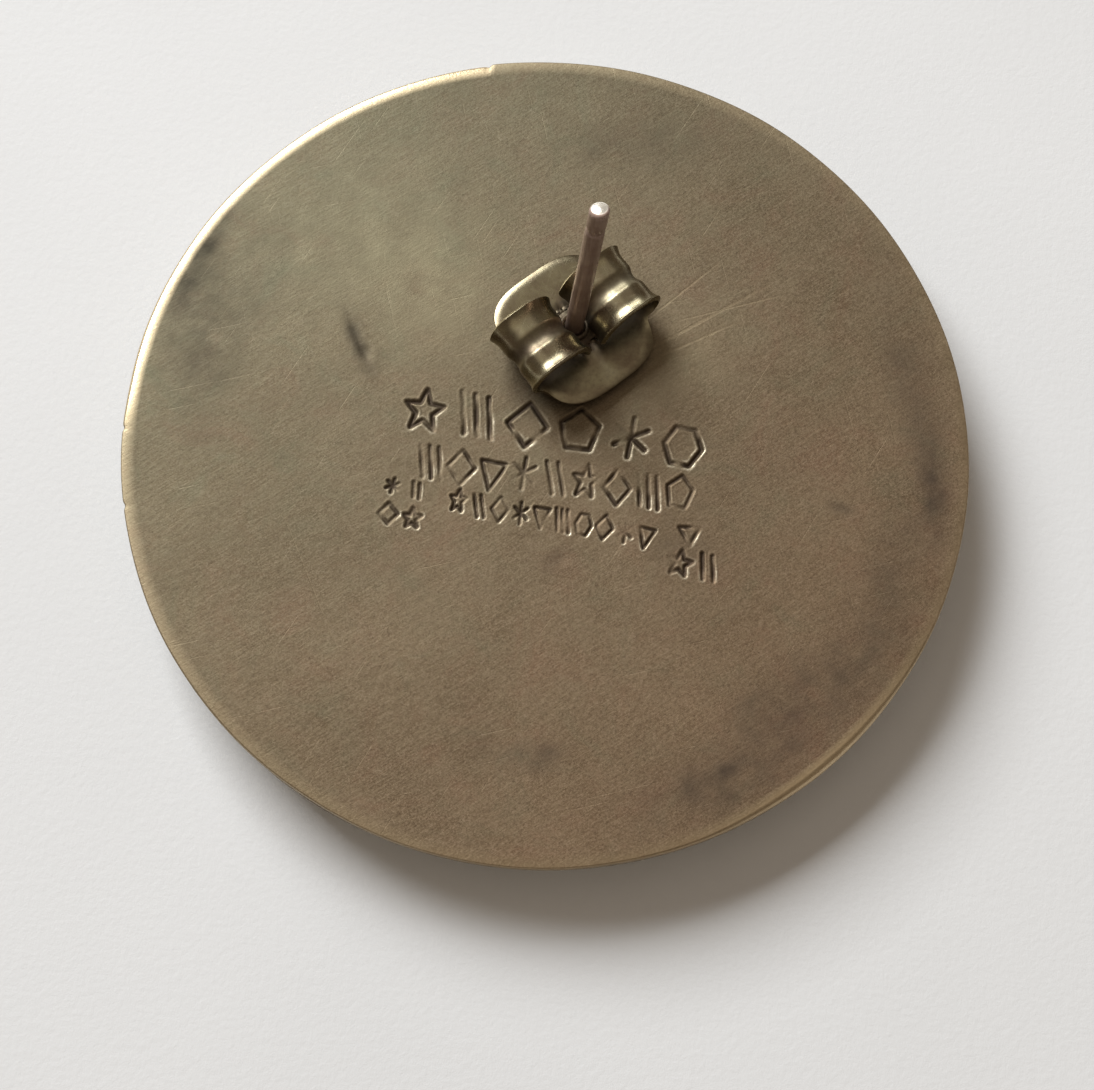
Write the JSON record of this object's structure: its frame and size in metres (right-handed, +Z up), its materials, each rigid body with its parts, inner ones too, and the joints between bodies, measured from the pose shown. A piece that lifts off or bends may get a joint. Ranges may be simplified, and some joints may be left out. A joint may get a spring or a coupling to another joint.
{
  "type": "stud earring",
  "caption": "Round silver stud earring lying face down: flat back plate on a low domed shell, with a wire ear post and a butterfly ear nut that slides off the post.",
  "frame": {"origin": "the point of the dome that touches the surface the earring lies on, under the centre of the disc", "axes": "+Z up out of the back plate, square to it, towards the ear post's tip; +Y from the disc's centre towards the ear post's foot, nearly; +X to the right seen with +Y away"},
  "size_m": [0.034, 0.034, 0.0144],
  "materials": {
    "front_silver": "polished silver, lightly worn",
    "back_silver": "satin silver with a warm tarnish",
    "solder": "dull silver solder",
    "post_wire": "drawn wire, lightly tarnished",
    "nut_sheet": "bright stamped sheet, tarnished in the folds"
  },
  "bodies": {
    "earring": {"front_shell": "front_silver", "rim_solder": "solder", "back_plate": "back_silver", "ear_post": "post_wire", "post_solder": "solder"},
    "nut": {"ear_nut": "nut_sheet"}
  },
  "joints": [
    {"name": "nut_slide", "type": "slide", "parent": "earring", "child": "nut", "axis": [0.0488, 0.0314, 0.9983], "range_m": [0, 0.0135]}
  ]
}
